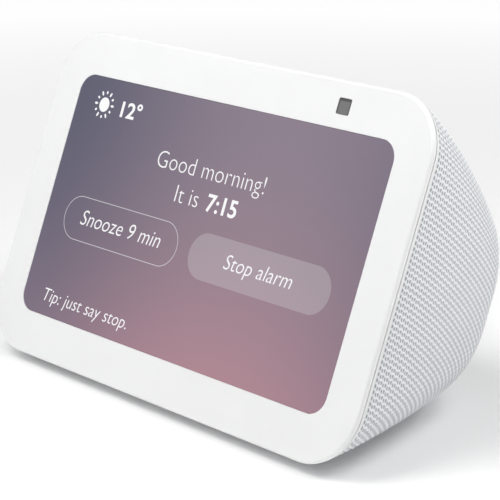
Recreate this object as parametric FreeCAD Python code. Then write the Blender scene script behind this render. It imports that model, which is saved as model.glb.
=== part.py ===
import FreeCAD, Part
import math
import os

# Compact smart display: a tilted white front frame around a 5.5 inch touch panel,
# with a fabric-covered wedge body behind it, controls along the top and a power
# inlet at the rear.  All sizes in millimetres.
#
# Face axes used while building: X to the right, Y into the body (depth), Z up the
# face.  place() tilts them by TILT and moves the finished part to its origin.

V = FreeCAD.Vector

# ---------------------------------------------------------------- overall body
WIDTH = 146.0            # across the front frame
FACE_H = 95.2            # height measured along the tilted face
TILT = 21.5              # face leans back by this many degrees
BODY_DEPTH = 66.1        # from the face plane to the tip of the back, square to the face
CORNER_R = 15.7          # outer corner of the front frame
CORNER_GROWTH = 0.12     # corner radius gained per mm of depth
EDGE_R = 0.8             # soft front edge
TOP_SLOPE = 0.20         # fall of the top per mm of depth, straight share
TOP_DROP = 10.4          # fall of the top, curved share
TOP_POWER = 1.6
SIDE_SLOPE = 0.046       # taper of each side, straight share
SIDE_DROP = 13.1         # taper of each side, curved share
SIDE_POWER = 1.7
BOTTOM_SLOPE = 0.369     # rise of the underside per mm of depth
NOSE_R = 17.3            # rounding of the back

# ---------------------------------------------------------------- layers
SKIN_T = 1.2             # fabric with its backing
SHELL_T = 2.2            # moulded rear shell
FRAME_T = 3.0            # front frame, front to back
GROOVE = 0.4             # shadow line between front frame and rim
GROOVE_DEPTH = 0.5
EDGE_BACK = 1.2          # visible thickness of the front frame at its edge
LIP_BACK = 2.5           # depth where the rim's lip ends and the fabric starts
LIP_IN = 2.2             # lip and its neck, set in from the skin
RIM_BACK = 5.6           # depth where the rim ends and the shell starts
SPIGOT_L = 3.2
SPIGOT_T = 1.6

# ---------------------------------------------------------------- display
SCREEN_W = 123.1         # visible opening
SCREEN_H = 70.3
SCREEN_R = 5.3
SCREEN_V = 47.55         # height of the screen centre up the face
PANEL_W = 126.0
PANEL_H = 73.5
LIP_T = 0.8              # lip of the frame over the panel edge
GASKET_T = 0.4
GLASS_SINK = 0.1         # glass lies this far below the frame
PANEL_T = 2.2
BACKLIGHT_T = 2.2
CARRIER_T = 0.8
CARRIER_W = 134.6
CARRIER_H = 74.6

# ---------------------------------------------------------------- clearances
CLEAR_FIXED = 0.1        # glued or clipped pieces, each side
CLEAR_SLIDE = 0.2        # moving pieces, each side
CLEAR_PANEL = 0.3        # panel in its rebate, each side

# ---------------------------------------------------------------- camera and shutter
CAM_X = 40.5
CAM_V = 88.5
CAM_WIN_W = 4.5
CAM_WIN_H = 4.3
CAM_BODY = 6.4
SHUTTER_TRAVEL = 6.5
SHUTTER_REST = 8.0       # blade centre right of the camera when open
BLADE_W = 6.0
BLADE_H = 5.4
BLADE_T = 0.6
KNOB_L = 8.0
KNOB_W = 4.4
KNOB_H = 1.3

# ---------------------------------------------------------------- top controls
DECK_HALF = 57.0
DECK_D = 8.2             # front to back
DECK_T = 3.4
BUTTON_PITCH = 18.0
BUTTON_L = 11.0
BUTTON_W = 3.8
BUTTON_RISE = 0.7
BUTTON_TRAVEL = 0.5
FLANGE_T = 0.8
SWITCH_H = 2.0
BOARD_T = 1.0
BOARD_Y0 = -1.7          # button board, front and back edges from the button centres
BOARD_Y1 = 4.2
MIC_HOLE_R = 0.6

# ---------------------------------------------------------------- loudspeaker
SPK_DEPTH = 39.5         # where its axis meets the top of the body
SPK_SINK = 9.5           # flange below the outer surface, along the axis
SPK_R = 20.5
CONE_R = 15.6
ROLL_R = 18.4
COIL_R = 7.3
POLE_R = 6.85
MAGNET_R = 14.0
CHAMBER_T = 2.2
CHAMBER_H = 21.7

# ---------------------------------------------------------------- rear ports and base
PORT_W = 40.0
PORT_H = 15.0
PORT_V = 48.0
PORT_SINK = 1.0
PORT_T = 3.0
INLET_X = -9.0
INLET_R = 5.2            # recess for the round body of the plug
BARREL_R = 2.1
PIN_R = 0.8
USB_X = 9.5
BASE_W = 92.0
BASE_D = 42.0
BASE_Y = 31.0
BASE_R = 10.0
FOOT_DROP = 1.7          # foot below the lowest point of the skin
FOOT_T = 1.6
FOOT_MARGIN = 4.0
SCREW_X = 34.0

SIN = math.sin(math.radians(TILT))
COS = math.cos(math.radians(TILT))


# ---------------------------------------------------------------- helpers
def top_at(depth):
    e = max(depth - EDGE_R, 0.0)
    k = e / (BODY_DEPTH - EDGE_R)
    return FACE_H - TOP_SLOPE * e - TOP_DROP * k ** TOP_POWER


def section(depth, inset):
    """Outline of the body parallel to the face, inset from the outer skin."""
    e = max(depth - EDGE_R, 0.0)
    k = e / (BODY_DEPTH - EDGE_R)
    nose_r = NOSE_R - inset
    past = max(depth - (BODY_DEPTH - NOSE_R), 0.0)
    nose = nose_r - math.sqrt(max(nose_r ** 2 - past ** 2, 0.0))
    high = top_at(depth) - inset - nose
    low = BOTTOM_SLOPE * depth + inset + nose
    half = WIDTH / 2 - SIDE_SLOPE * e - SIDE_DROP * k ** SIDE_POWER - inset - nose
    radius = CORNER_R + CORNER_GROWTH * e - inset
    radius = min(radius, (high - low) / 2 - 0.3)
    return half, low, high, radius


def rounded(half, low, high, radius, y):
    """Wire of a rounded rectangle in the plane of the face at depth y."""
    c = radius * math.sqrt(0.5)
    x0, x1, z0, z1, r = -half, half, low, high, radius
    points = [
        (x0 + r, z0), (x1 - r, z0), (x1 - r + c, z0 + r - c), (x1, z0 + r),
        (x1, z1 - r), (x1 - r + c, z1 - r + c), (x1 - r, z1),
        (x0 + r, z1), (x0 + r - c, z1 - r + c), (x0, z1 - r),
        (x0, z0 + r), (x0 + r - c, z0 + r - c)]
    p = [V(a, y, b) for a, b in points]
    edges = [
        Part.makeLine(p[0], p[1]),
        Part.Arc(p[1], p[2], p[3]).toShape(),
        Part.makeLine(p[3], p[4]),
        Part.Arc(p[4], p[5], p[6]).toShape(),
        Part.makeLine(p[6], p[7]),
        Part.Arc(p[7], p[8], p[9]).toShape(),
        Part.makeLine(p[9], p[10]),
        Part.Arc(p[10], p[11], p[0]).toShape()]
    return Part.Wire(edges)


def envelope(inset):
    """Solid bounded by the body surface set in by the given amount."""
    start = BODY_DEPTH - NOSE_R
    depths = [0.0, EDGE_R, 4.0]
    steps = 7
    for i in range(1, steps + 1):
        depths.append(4.0 + (start - 4.0) * i / steps)
    for angle in (12, 24, 36, 48, 59, 69, 78, 86):
        depths.append(start + (NOSE_R - inset) * math.sin(math.radians(angle)))
    wires = [rounded(*section(d, inset), d) for d in depths]
    return Part.makeLoft(wires, True, False)


def slab(shape, front, back):
    box = Part.makeBox(400, back - front, 400, V(-200, front, -200))
    return shape.common(box)


def box(x0, x1, y0, y1, z0, z1):
    return Part.makeBox(x1 - x0, y1 - y0, z1 - z0, V(x0, y0, z0))


def plate(width, height, radius, front, back, cx=0.0, cz=SCREEN_V):
    """Rounded plate parallel to the face."""
    wire = rounded(width / 2, cz - height / 2, cz + height / 2, radius, front)
    solid = Part.Face(wire).extrude(V(0, back - front, 0))
    solid.translate(V(cx, 0, 0))
    return solid


def rod(radius, x, z, front, back):
    return Part.makeCylinder(radius, back - front, V(x, front, z), V(0, 1, 0))


def pill(length, width, low, high, cx=0.0):
    """Pill lying along X, in a frame whose Z is its own axis."""
    r = width / 2
    h = high - low
    body = Part.makeBox(length - width, width, h, V(cx - length / 2 + r, -r, low))
    for side in (-1, 1):
        body = body.fuse(Part.makeCylinder(r, h, V(cx + side * (length / 2 - r), 0, low)))
    return body.removeSplitter()


def revolve(points):
    face = Part.Face(Part.makePolygon([V(r, 0, z) for r, z in points + points[:1]]))
    return face.revolve(V(0, 0, 0), V(0, 0, 1), 360)


def ring(outer, inner, low, high):
    return Part.makeCylinder(outer, high - low, V(0, 0, low)).cut(
        Part.makeCylinder(inner, high - low + 2, V(0, 0, low - 1)))


def joined(shapes):
    result = shapes[0]
    for other in shapes[1:]:
        result = result.fuse(other)
    return result.removeSplitter()


def lead(points, radius):
    """Round wire along straight runs with ball corners."""
    shapes = []
    for a, b in zip(points[:-1], points[1:]):
        a, b = V(*a), V(*b)
        shapes.append(Part.makeCylinder(radius, (b - a).Length, a, b - a))
    for p in points[1:-1]:
        shapes.append(Part.makeSphere(radius, V(*p)))
    return joined(shapes)


def on_top(shape, depth, slope, lift=0.0):
    """Move a shape from a frame standing on the top surface into the face axes."""
    s = shape.copy()
    s.translate(V(0, 0, lift))
    s.rotate(V(0, 0, 0), V(1, 0, 0), -slope)
    s.translate(V(0, depth, top_at(depth)))
    return s


def slope_at(depth):
    return math.degrees(math.atan((top_at(depth - 1) - top_at(depth + 1)) / 2))


def tilted(shape):
    s = shape.copy()
    s.rotate(V(0, 0, 0), V(1, 0, 0), -TILT)
    return s


parts = {}
standing = {}

skin = envelope(0.0)
shell_outer = envelope(SKIN_T)
shell_inner = envelope(SKIN_T + SHELL_T)

# ---------------------------------------------------------------- display stack
glass_back = LIP_T + GASKET_T
panel_back = glass_back + PANEL_T
light_back = panel_back + BACKLIGHT_T
assert abs(light_back - RIM_BACK) < 1e-6

cover_glass = plate(SCREEN_W - 2 * CLEAR_FIXED, SCREEN_H - 2 * CLEAR_FIXED,
                    SCREEN_R - CLEAR_FIXED, GLASS_SINK, glass_back)
gasket = plate(PANEL_W - 0.6, PANEL_H - 0.6, 1.5, LIP_T, glass_back)
gasket = gasket.cut(plate(SCREEN_W + 0.6, SCREEN_H + 0.6, SCREEN_R, 0, 5))
lcd_panel = plate(PANEL_W, PANEL_H, 1.2, glass_back, panel_back)
backlight = plate(PANEL_W, PANEL_H, 1.2, panel_back, light_back)
carrier_v0 = SCREEN_V - CARRIER_H / 2
carrier_v1 = SCREEN_V + CARRIER_H / 2
carrier_back = RIM_BACK + CARRIER_T
carrier = plate(CARRIER_W, CARRIER_H, 3.0, RIM_BACK, carrier_back)
carrier = carrier.cut(box(33, 58, 0, 20, 84.0, 100))
flex_v = 13.0
carrier = carrier.cut(box(-12, 12, 0, 20, flex_v - 1.2, flex_v + 1.5))

board_front = 14.0
board_t = 1.4
board_back = board_front + board_t
board_half = 50.0
board_v0, board_v1 = 14.0, 56.0
posts = []
for x in (-45.0, 45.0):
    for z in (board_v0 + 4, board_v1 - 4):
        posts.append((x, z))
for x, z in posts:
    carrier = carrier.fuse(rod(2.4, x, z, carrier_back, board_front))
for x, z in posts:
    carrier = carrier.cut(rod(1.0, x, z, board_front - 5, board_front + 1))
screw_points = [(x, z) for x in (-65.3, 65.3) for z in (14.0, 81.0)]
for x, z in screw_points:
    carrier = carrier.cut(rod(1.0 + CLEAR_FIXED, x, z, 0, 20))

# ---------------------------------------------------------------- front frame
front = slab(skin, 0.0, FRAME_T)
edge_list = []
for edge in front.Edges:
    if all(abs(v.Point.y) < 1e-6 for v in edge.Vertexes):
        edge_list.append(edge)
front = front.makeFillet(EDGE_R, edge_list)
front = front.cut(slab(skin, EDGE_BACK, FRAME_T + 1.0).cut(envelope(LIP_IN + CLEAR_FIXED)))
front = front.cut(plate(SCREEN_W, SCREEN_H, SCREEN_R, -1, 5))
rebate_w = PANEL_W + 2 * CLEAR_PANEL
rebate_h = PANEL_H + 2 * CLEAR_PANEL
front = front.cut(plate(rebate_w, rebate_h, 1.5, LIP_T, 5))

win_flange = 1.0
win_step = 0.7
win_back = 1.2
front = front.cut(plate(CAM_WIN_W, CAM_WIN_H, 0.5, -1, 5, CAM_X, CAM_V))
front = front.cut(plate(CAM_WIN_W + 2 * win_flange, CAM_WIN_H + 2 * win_flange, 0.6,
                        win_step, 5, CAM_X, CAM_V))
camera_window = plate(CAM_WIN_W - 2 * CLEAR_FIXED, CAM_WIN_H - 2 * CLEAR_FIXED, 0.4,
                      GLASS_SINK, win_step, CAM_X, CAM_V)
camera_window = camera_window.fuse(
    plate(CAM_WIN_W + 2 * win_flange - 2 * CLEAR_FIXED,
          CAM_WIN_H + 2 * win_flange - 2 * CLEAR_FIXED, 0.5,
          win_step, win_back, CAM_X, CAM_V)).removeSplitter()

# shutter: a blade behind the window on an arm that ends in a knob on the deck
blade_x = CAM_X + SHUTTER_REST
blade_front = 1.45
blade_back = blade_front + BLADE_T
track_front = blade_back + 0.25
pocket_x0 = CAM_X - BLADE_W / 2 - 0.6
pocket_x1 = blade_x + BLADE_W / 2 + 0.4
pocket_v0 = CAM_V - BLADE_H / 2 - CLEAR_SLIDE
arm_v0 = 91.5
arm_v1 = 92.7
arm_x0 = blade_x + 0.4
arm_x1 = blade_x + BLADE_W / 2
slot_x0 = arm_x0 - SHUTTER_TRAVEL - 0.3
slot_x1 = arm_x1 + 0.3
pocket_v1 = arm_v1 + CLEAR_SLIDE
front = front.cut(box(pocket_x0, pocket_x1, win_back, 5, pocket_v0, pocket_v1))

track = box(pocket_x0 + CLEAR_FIXED, pocket_x1 - CLEAR_FIXED, track_front, FRAME_T,
            pocket_v0 + CLEAR_FIXED, arm_v0 - 0.3)
track = track.cut(rod(2.55, CAM_X, CAM_V, 0, 5))

post_d0, post_d1 = 7.6, 8.9
deck_slope = slope_at(RIM_BACK + DECK_D / 2)
knob_depth = (post_d0 + post_d1) / 2
blade = box(blade_x - BLADE_W / 2, blade_x + BLADE_W / 2, blade_front, blade_back,
            CAM_V - BLADE_H / 2, CAM_V + BLADE_H / 2)
arm = box(arm_x0, arm_x1, blade_front, blade_back, CAM_V, arm_v1)
arm = arm.fuse(box(arm_x0, arm_x1, blade_front, post_d1, arm_v0, arm_v1))
arm = arm.fuse(box(arm_x0, arm_x1, post_d0, post_d1, arm_v0, top_at(knob_depth) + 0.9))
shutter_blade = blade.fuse(arm).removeSplitter()
knob = pill(KNOB_L, KNOB_W, CLEAR_SLIDE, CLEAR_SLIDE + KNOB_H, (arm_x0 + arm_x1) / 2)
knob_top = [e for e in knob.Edges
            if all(abs(v.Point.z - CLEAR_SLIDE - KNOB_H) < 1e-6 for v in e.Vertexes)]
knob = knob.makeFillet(0.45, knob_top)
rib = Part.makeBox(0.5, KNOB_W - 1.6, 1.0)
for offset in (-1.4, 0.0, 1.4):
    groove = rib.copy()
    groove.translate(V((arm_x0 + arm_x1) / 2 + offset - 0.25, -(KNOB_W - 1.6) / 2,
                       CLEAR_SLIDE + KNOB_H - 0.25))
    knob = knob.cut(groove)
knob = on_top(knob, knob_depth, deck_slope)
knob = knob.cut(shutter_blade)

cam_body_front = 3.4
cam_body_back = 9.0
camera_body = box(CAM_X - CAM_BODY / 2, CAM_X + CAM_BODY / 2, cam_body_front, cam_body_back,
                  CAM_V - CAM_BODY / 2 + 0.2, CAM_V + CAM_BODY / 2 - 0.2)
camera_body = camera_body.fuse(rod(2.4, CAM_X, CAM_V, 2.35, cam_body_front))
camera_body = camera_body.cut(rod(1.7, CAM_X, CAM_V, 0, 3.3)).removeSplitter()
camera_lens = rod(1.7, CAM_X, CAM_V, 2.5, 3.3)
lens_edge = [e for e in camera_lens.Edges
             if e.Curve.TypeId == 'Part::GeomCircle' and e.Curve.Center.y < 2.6]
camera_lens = camera_lens.makeFillet(0.5, lens_edge)

for x, z in screw_points:
    front = front.cut(rod(1.0, x, z, 1.5, 6))

# ---------------------------------------------------------------- rim and inner frame
weld = 0.2               # stretches of the moulding run this far into each other
neck_back = FRAME_T + GROOVE + weld
mid = slab(skin, FRAME_T + GROOVE, RIM_BACK)
mid = mid.fuse(slab(envelope(GROOVE_DEPTH), FRAME_T, neck_back))
neck = slab(envelope(GROOVE_DEPTH), EDGE_BACK + CLEAR_FIXED, neck_back)
neck = neck.fuse(slab(skin, EDGE_BACK + GROOVE, neck_back)).cut(envelope(LIP_IN))
mid = mid.fuse(neck)
deck_gap = box(-DECK_HALF - CLEAR_FIXED, DECK_HALF + CLEAR_FIXED, 0, 30, 70, 120)
mid = mid.cut(slab(skin, LIP_BACK, RIM_BACK).cut(envelope(SKIN_T)).cut(deck_gap))
spigot_in = SKIN_T + SHELL_T + CLEAR_FIXED
spigot = slab(envelope(spigot_in), RIM_BACK - weld, RIM_BACK + SPIGOT_L)
spigot = spigot.cut(envelope(spigot_in + SPIGOT_T))
spigot = spigot.cut(box(-60, 60, 0, 30, 70, 120))
spigot = spigot.cut(plate(CARRIER_W + 0.6, CARRIER_H + 0.6, 3.3, RIM_BACK, 30))
for x, z in screw_points:
    spigot = spigot.cut(rod(2.2, x, z, RIM_BACK, 30))
mid = mid.fuse(spigot)
mid = mid.cut(plate(rebate_w, rebate_h, 1.5, 0, 20))
mid = mid.cut(box(CAM_X - CAM_BODY / 2, CAM_X + CAM_BODY / 2, 0, 20,
                  CAM_V - CAM_BODY / 2 + 0.2, CAM_V + CAM_BODY / 2 - 0.2))
mid = mid.cut(box(slot_x0, slot_x1, 0, 20, arm_v0 - CLEAR_SLIDE, pocket_v1))
for x, z in screw_points:
    mid = mid.cut(rod(1.0 + CLEAR_FIXED, x, z, 0, 20))
hook_v = (30.0, 66.0)
hook_d0 = RIM_BACK + 1.3
for side in (-1, 1):
    for v in hook_v:
        half = section(hook_d0, spigot_in)[0]
        a, b = sorted((side * (half - 1.0), side * (half + 1.1)))
        mid = mid.fuse(box(a, b, hook_d0, hook_d0 + 1.5, v - 4, v + 4))
mid_frame = mid.removeSplitter()

# ---------------------------------------------------------------- top deck and buttons
deck_back = RIM_BACK + DECK_D
deck_mid = (RIM_BACK + deck_back) / 2
deck_zone = box(-DECK_HALF, DECK_HALF, RIM_BACK, deck_back, 70, 110)
deck = skin.common(deck_zone).cut(envelope(DECK_T))
deck = deck.cut(box(slot_x0, slot_x1, 0, post_d1 + CLEAR_SLIDE, 80, pocket_v1))
deck = deck.cut(box(slot_x0, slot_x1, post_d0 - CLEAR_SLIDE, post_d1 + CLEAR_SLIDE, 80, 110))
deck = deck.cut(box(CAM_X - CAM_BODY / 2 - 0.1, CAM_X + CAM_BODY / 2 + 0.1, 0, cam_body_back + 0.1,
                    80, CAM_V + CAM_BODY / 2))
cap_low = -DECK_T - 0.15 - FLANGE_T
board_top = cap_low - BUTTON_TRAVEL - 0.1 - SWITCH_H
hole = pill(BUTTON_L + 2 * CLEAR_SLIDE, BUTTON_W + 2 * CLEAR_SLIDE, -6, 3)
post_x = 30.0
mic_x = BUTTON_PITCH / 2
for x in (-post_x, post_x):
    stud = Part.makeCylinder(2.2, -board_top - 1.5, V(x, 0, board_top))
    deck = deck.fuse(on_top(stud, deck_mid, deck_slope))
for i in (-1, 0, 1):
    tool = hole.copy()
    tool.translate(V(i * BUTTON_PITCH, 0, 0))
    deck = deck.cut(on_top(tool, deck_mid, deck_slope))
for x in (-mic_x, mic_x):
    tool = Part.makeCylinder(MIC_HOLE_R, 10, V(x, 0, -6))
    deck = deck.cut(on_top(tool, deck_mid, deck_slope))
for x in (-post_x, post_x):
    tool = Part.makeCylinder(0.8, 4, V(x, 0, board_top - 0.5))
    deck = deck.cut(on_top(tool, deck_mid, deck_slope))
control_deck = deck.removeSplitter()


def button(cx, icon):
    cap = pill(BUTTON_L, BUTTON_W, -DECK_T - 0.3, BUTTON_RISE, 0.0)
    rim_edges = [e for e in cap.Edges
                 if all(abs(v.Point.z - BUTTON_RISE) < 1e-6 for v in e.Vertexes)]
    cap = cap.makeFillet(0.35, rim_edges)
    cap = cap.fuse(pill(BUTTON_L + 1.6, BUTTON_W + 1.2, cap_low, cap_low + FLANGE_T))
    cap = cap.fuse(Part.makeCylinder(1.1, 0.1, V(0, 0, cap_low - 0.1)))
    if icon == 'minus' or icon == 'plus':
        cap = cap.cut(Part.makeBox(2.4, 0.5, 1, V(-1.2, -0.25, BUTTON_RISE - 0.2)))
    if icon == 'plus':
        cap = cap.cut(Part.makeBox(0.5, 2.4, 1, V(-0.25, -1.2, BUTTON_RISE - 0.2)))
    if icon == 'mute':
        cap = cap.cut(ring(1.1, 0.7, BUTTON_RISE - 0.2, BUTTON_RISE + 1))
    cap.translate(V(cx, 0, 0))
    return on_top(cap.removeSplitter(), deck_mid, deck_slope)


mute_button = button(-BUTTON_PITCH, 'mute')
volume_down = button(0.0, 'minus')
volume_up = button(BUTTON_PITCH, 'plus')

strip = Part.makeBox(2 * post_x + 6, BOARD_Y1 - BOARD_Y0, BOARD_T,
                     V(-post_x - 3, BOARD_Y0, board_top - BOARD_T))
for x in (-post_x, post_x):
    strip = strip.cut(Part.makeCylinder(0.9, 5, V(x, 0, board_top - 3)))
button_board = on_top(strip, deck_mid, deck_slope)
switches = []
for i in (-1, 0, 1):
    x = i * BUTTON_PITCH
    base = Part.makeBox(5.2, 5.2, SWITCH_H - 0.7, V(x - 2.6, BOARD_Y0, board_top))
    plunger = Part.makeCylinder(1.5, 0.7, V(x, 0, board_top + SWITCH_H - 0.7))
    switches.append(on_top(base.fuse(plunger).removeSplitter(), deck_mid, deck_slope))
mics = []
boots = []
for x in (-mic_x, mic_x):
    can = Part.makeBox(3.4, 2.6, 1.1, V(x - 1.7, -1.3, board_top))
    can = can.cut(Part.makeCylinder(0.4, 1, V(x, 0, board_top + 0.7)))
    mics.append(on_top(can, deck_mid, deck_slope))
    boot = Part.makeCylinder(1.25, 8, V(x, 0, board_top + 1.1))
    boot = boot.cut(Part.makeCylinder(MIC_HOLE_R, 12, V(x, 0, board_top)))
    boots.append(on_top(boot, deck_mid, deck_slope).common(envelope(DECK_T)))
board_pins = []
pin_head_r = 1.5
pin_head_h = 0.9
pin_seat = board_top - BOARD_T
for x in (-post_x, post_x):
    head = Part.makeCylinder(pin_head_r, pin_head_h, V(x, 0, pin_seat - pin_head_h))
    shank = Part.makeCylinder(0.8, 3.4, V(x, 0, pin_seat - 0.1))
    board_pins.append(on_top(head.fuse(shank).removeSplitter(), deck_mid, deck_slope))
    # the carrier's upper edge is notched round each screw head
    notch = Part.makeCylinder(pin_head_r + CLEAR_PANEL, pin_head_h + 2 * CLEAR_PANEL,
                              V(x, 0, pin_seat - pin_head_h - CLEAR_PANEL))
    carrier = carrier.cut(on_top(notch, deck_mid, deck_slope))

# ---------------------------------------------------------------- fabric and shell
far = 200.0
deck_cut = box(-DECK_HALF - CLEAR_FIXED, DECK_HALF + CLEAR_FIXED, 0, deck_back + CLEAR_FIXED,
               70, 120)
fabric = slab(skin, LIP_BACK, far).cut(shell_outer).cut(deck_cut)
shell = slab(shell_outer, RIM_BACK, far).cut(shell_inner).cut(deck_cut)
panel_front = BODY_DEPTH - PORT_SINK - PORT_T
panel_face = BODY_DEPTH - PORT_SINK
port_cut = plate(PORT_W, PORT_H, PORT_H / 2 - 0.01, panel_front, 90, 0, PORT_V)
ledge_w = 3.0
port_through = plate(PORT_W - 2 * ledge_w, PORT_H - 2 * 1.5, PORT_H / 2 - 1.6, 50, 90, 0, PORT_V)
fabric = fabric.cut(port_cut)
shell_floor = BODY_DEPTH - SKIN_T - SHELL_T
ledge = plate(PORT_W + 4, PORT_H + 4, PORT_H / 2 + 1.9, panel_front - 1.6, shell_floor + 1.0,
              0, PORT_V)
shell = shell.fuse(ledge.common(shell_outer)).cut(port_cut).cut(port_through)
for side in (-1, 1):
    for v in hook_v:
        half = section(hook_d0, spigot_in)[0]
        a, b = sorted((side * (half - 2.0), side * (half + 1.3)))
        shell = shell.cut(box(a, b, hook_d0 - 0.1, hook_d0 + 1.6, v - 4.2, v + 4.2))

port_panel = plate(PORT_W - 2 * CLEAR_FIXED, PORT_H - 2 * CLEAR_FIXED,
                   PORT_H / 2 - CLEAR_FIXED - 0.01, panel_front, panel_face, 0, PORT_V)
port_panel = port_panel.cut(rod(INLET_R, INLET_X, PORT_V, 50, 90))
usb_w, usb_h = 7.8, 2.9
port_panel = port_panel.cut(plate(usb_w + 0.2, usb_h + 0.2, 0.7, 50, 90, USB_X, PORT_V))

jack_back = panel_front
jack_front = jack_back - 12.0
dc_jack = box(INLET_X - 5.6, INLET_X + 5.6, jack_front, jack_back, PORT_V - 4.8, PORT_V + 4.8)
dc_jack = dc_jack.cut(rod(BARREL_R, INLET_X, PORT_V, jack_front + 2.0, jack_back + 1))
dc_pin = rod(PIN_R, INLET_X, PORT_V, jack_front + 2.0, jack_back - 0.6)
pin_tip = [e for e in dc_pin.Edges
           if e.Curve.TypeId == 'Part::GeomCircle' and e.Curve.Center.y > jack_back - 1]
dc_pin = dc_pin.makeFillet(0.4, pin_tip)
usb_back = panel_face - 0.4
usb_front = usb_back - 6.0
usb_shell = plate(usb_w, usb_h, 0.6, usb_front, usb_back, USB_X, PORT_V)
usb_shell = usb_shell.cut(plate(usb_w - 0.7, usb_h - 0.7, 0.4, usb_front + 1.0, usb_back + 1,
                                USB_X, PORT_V))
usb_tongue = box(USB_X - 2.2, USB_X + 2.2, usb_front + 1.0, usb_back - 0.7,
                 PORT_V + 0.1, PORT_V + 0.7)
port_board_d = jack_front - 1.2
port_board = box(-17, 17, port_board_d, jack_front, PORT_V - 6, PORT_V + 6)
usb_mount = box(USB_X - 4.5, USB_X + 4.5, jack_front, usb_front, PORT_V - 3, PORT_V + 3)

# ---------------------------------------------------------------- main board
main_board = box(-board_half, board_half, board_front, board_back, board_v0, board_v1)
for x, z in posts:
    main_board = main_board.cut(rod(1.1, x, z, 0, 30))
chip_v = 36.0
processor = box(-7, 7, board_back, board_back + 1.3, chip_v - 7, chip_v + 7)
memory = [box(13, 22, board_back, board_back + 1.0, chip_v - 6, chip_v + 6),
          box(-24, -14, board_back, board_back + 1.0, chip_v - 5, chip_v + 5)]
coils = [box(30 + 6 * i, 34 + 6 * i, board_back, board_back + 2.4, 22, 26.5) for i in range(2)]
sockets = [box(-40, -28, board_back, board_back + 3.0, 44, 49),
           box(31, 41, board_back, board_back + 3.0, 44, 49)]
can_w = 56.0
shield = box(-can_w / 2, can_w / 2, board_back, board_back + 2.6, chip_v - 10, chip_v + 10)
shield = shield.cut(box(-can_w / 2 + 0.4, can_w / 2 - 0.4, board_back - 1, board_back + 2.2,
                        chip_v - 9.6, chip_v + 9.6))
spread_front = board_back + 2.6
spreader = box(-can_w / 2 + 3, can_w / 2 - 3, spread_front, spread_front + 1.2,
               chip_v - 9, chip_v + 9)
for i in range(9):
    x = -22 + i * 5.5
    spreader = spreader.fuse(box(x - 0.5, x + 0.5, spread_front + 1.2, spread_front + 5.0,
                                 chip_v - 9, chip_v + 9))
spreader = spreader.removeSplitter()
flex_t = 0.3
display_flex = box(-9, 9, light_back, board_front - flex_t, flex_v - flex_t, flex_v)
display_flex = display_flex.fuse(box(-9, 9, board_front - flex_t, board_front,
                                     flex_v - flex_t, board_v0 + 8)).removeSplitter()


def screw(x, z, head_at, head_h, head_r, shank_r, tip_at):
    """Screw driven towards the face; its head lies behind head_at."""
    body = rod(head_r, x, z, head_at, head_at + head_h)
    body = body.fuse(rod(shank_r, x, z, tip_at, head_at)).removeSplitter()
    slot = box(x - head_r * 0.6, x + head_r * 0.6, head_at + head_h - 0.4, head_at + head_h + 1,
               z - 0.25, z + 0.25)
    cross = box(x - 0.25, x + 0.25, head_at + head_h - 0.4, head_at + head_h + 1,
                z - head_r * 0.6, z + head_r * 0.6)
    return body.cut(slot).cut(cross)


carrier_screws = [screw(x, z, carrier_back, 1.2, 1.9, 1.0, 1.9) for x, z in screw_points]
board_screws = [screw(x, z, board_back, 1.2, 1.9, 1.0, board_front - 4.5) for x, z in posts]
antenna = box(54.0, 62.0, carrier_back, carrier_back + 0.8, 34, 62)
antenna_right = antenna
antenna_left = antenna.mirror(V(0, 0, 0), V(1, 0, 0))

# ---------------------------------------------------------------- loudspeaker
spk_slope = slope_at(SPK_DEPTH)


def speaker(shape):
    return on_top(shape, SPK_DEPTH, spk_slope, -SPK_SINK)


basket = revolve([(ROLL_R - 0.9, -1.4), (SPK_R, -1.4), (SPK_R, 0.0), (ROLL_R, 0.0),
                  (ROLL_R, -0.7), (ROLL_R - 0.9, -0.7)])
wall = revolve([(ROLL_R - 0.9, -1.4), (ROLL_R + 0.1, -1.4), (14.9, -8.6), (14.9, -11.2),
                (12.6, -12.6), (9.0, -12.6), (9.0, -11.8), (12.2, -11.8), (14.0, -10.8),
                (14.0, -8.4)])
for i in range(6):
    tool = Part.makeBox(6.5, 30, 4.6, V(-3.25, 0, -7.6))
    tool.rotate(V(0, 0, 0), V(0, 0, 1), 60 * i)
    wall = wall.cut(tool)
basket = basket.fuse(wall).removeSplitter()
top_plate = ring(12.6, COIL_R + 0.55, -14.0, -12.6)
magnet = ring(MAGNET_R, COIL_R + 1.6, -18.2, -14.0)
pole = Part.makeCylinder(12.8, 1.7, V(0, 0, -19.9)).fuse(
    Part.makeCylinder(POLE_R, 6.0, V(0, 0, -18.2))).removeSplitter()
coil = ring(COIL_R + 0.0, COIL_R - 0.2, -15.6, -6.4)
coil = coil.fuse(ring(COIL_R + 0.3, COIL_R - 0.1, -15.6, -12.0)).removeSplitter()
t = 0.45
cone = revolve([(COIL_R - 0.2, -6.4), (COIL_R + 0.6, -6.4), (CONE_R, -1.0), (CONE_R, -0.5),
                (COIL_R, -5.7), (COIL_R - 0.2, -5.7)])
cap_points = []
for i in range(7):
    a = math.radians(90 * i / 6)
    cap_points.append((COIL_R * math.cos(a), -5.7 + 3.4 * math.sin(a)))
inner_points = []
for i in range(7):
    a = math.radians(90 * i / 6)
    inner_points.append(((COIL_R - t) * math.cos(a), -5.7 + (3.4 - t) * math.sin(a)))
inner_points[-1] = (0.0, inner_points[-1][1])
cap_points[-1] = (0.0, cap_points[-1][1])
dust_cap = revolve(cap_points + inner_points[::-1])
roll_mid = (CONE_R + ROLL_R - 0.9) / 2
roll_half = (ROLL_R - 0.9 - CONE_R) / 2
outer_arc = []
inner_arc = []
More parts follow.
